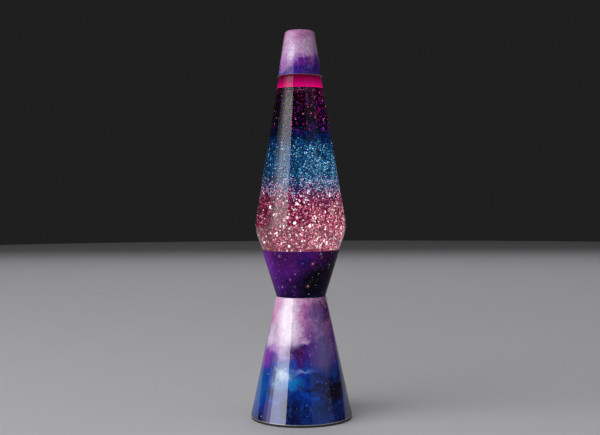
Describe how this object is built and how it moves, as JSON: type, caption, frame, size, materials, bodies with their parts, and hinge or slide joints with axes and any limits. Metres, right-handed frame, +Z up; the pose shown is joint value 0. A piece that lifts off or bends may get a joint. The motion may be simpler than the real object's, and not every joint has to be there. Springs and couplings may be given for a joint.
{
  "type": "lava lamp",
  "caption": "Tall glitter motion lamp: an hourglass spun-metal base with a galaxy print, a tapered sealed glass globe of glitter liquid, a lift-off conical cap and a screw-in reflector bulb.",
  "frame": {"origin": "on the table under the lamp's vertical axis, at the middle of the rubber ring it stands on", "axes": "+Z up along the lamp's axis; -Y is the front, and the cord inlet is at the back, towards +Y"},
  "size_m": [0.105, 0.1054, 0.4],
  "materials": {
    "cap_print": "gloss",
    "cup_print": "gloss",
    "cone_print": "gloss",
    "clear_glass": "gloss",
    "liquid": "gloss",
    "glitter": "polished",
    "tinplate": "satin",
    "liner": "matte",
    "felt": "matte",
    "white_moulding": "matte",
    "black_moulding": "satin",
    "holder_moulding": "satin",
    "porcelain": "satin",
    "black_rubber": "matte",
    "cover_paint": "satin",
    "zinc_steel": "satin",
    "brass": "satin",
    "brown_insulation": "satin",
    "blue_insulation": "satin",
    "solder": "satin",
    "black_glass": "gloss",
    "bulb_metal": "satin",
    "bulb_glass": "gloss",
    "stem_glass": "gloss",
    "nickel_wire": "satin",
    "tungsten": "satin"
  },
  "bodies": {
    "base": {"lower_cone": "cone_print", "upper_cup": "cup_print", "waist_locknut": "zinc_steel", "edge_ring": "black_rubber", "bottom_cover": "cover_paint", "cover_screws": "zinc_steel", "cover_nuts": "zinc_steel", "cord_gland": "black_moulding", "centre_tube": "zinc_steel", "tube_nut_lower": "zinc_steel", "tube_washer": "zinc_steel", "tube_nut_upper": "zinc_steel", "socket_cap": "holder_moulding", "socket_barrel": "holder_moulding", "socket_insert": "porcelain", "socket_contact": "brass", "socket_screw_shell": "brass", "socket_terminals": "brass", "live_lead": "brown_insulation", "neutral_lead": "blue_insulation", "terminal_block": "white_moulding", "terminal_sleeves": "brass", "terminal_screws": "zinc_steel", "block_screw": "zinc_steel"},
    "globe": {"glass_globe": "clear_glass", "lamp_liquid": "liquid", "glitter_flakes": "glitter", "crown_cork": "tinplate", "crown_liner": "liner"},
    "cap": {"cap_shell": "cap_print", "cap_insert": "white_moulding", "cap_pad": "felt"},
    "bulb_tip": {"bulb_contact": "solder"},
    "bulb": {"bulb_insulator": "black_glass", "bulb_screw_cap": "bulb_metal", "bulb_glass": "bulb_glass", "bulb_stem": "stem_glass", "bulb_lead_ins": "nickel_wire", "bulb_filament": "tungsten"}
  },
  "joints": [
    {"name": "globe_lift", "type": "slide", "parent": "base", "child": "globe", "axis": [0, 0, 1], "range_m": [0, 0.055]},
    {"name": "cap_lift", "type": "slide", "parent": "globe", "child": "cap", "axis": [0, 0, 1], "range_m": [0, 0.06]},
    {"name": "bulb_lift", "type": "slide", "parent": "base", "child": "bulb_tip", "axis": [0, 0, 1], "range_m": [0, 0.01129]},
    {"name": "bulb_turn", "type": "hinge", "parent": "bulb_tip", "child": "bulb", "pos_m": [0, 0, 0.09], "axis": [0, 0, 1], "range_deg": [0, 1440]}
  ],
  "couplings": [
    {"joint": "bulb_lift", "follows": "bulb_turn", "m_per_rad": 0.00044913}
  ]
}
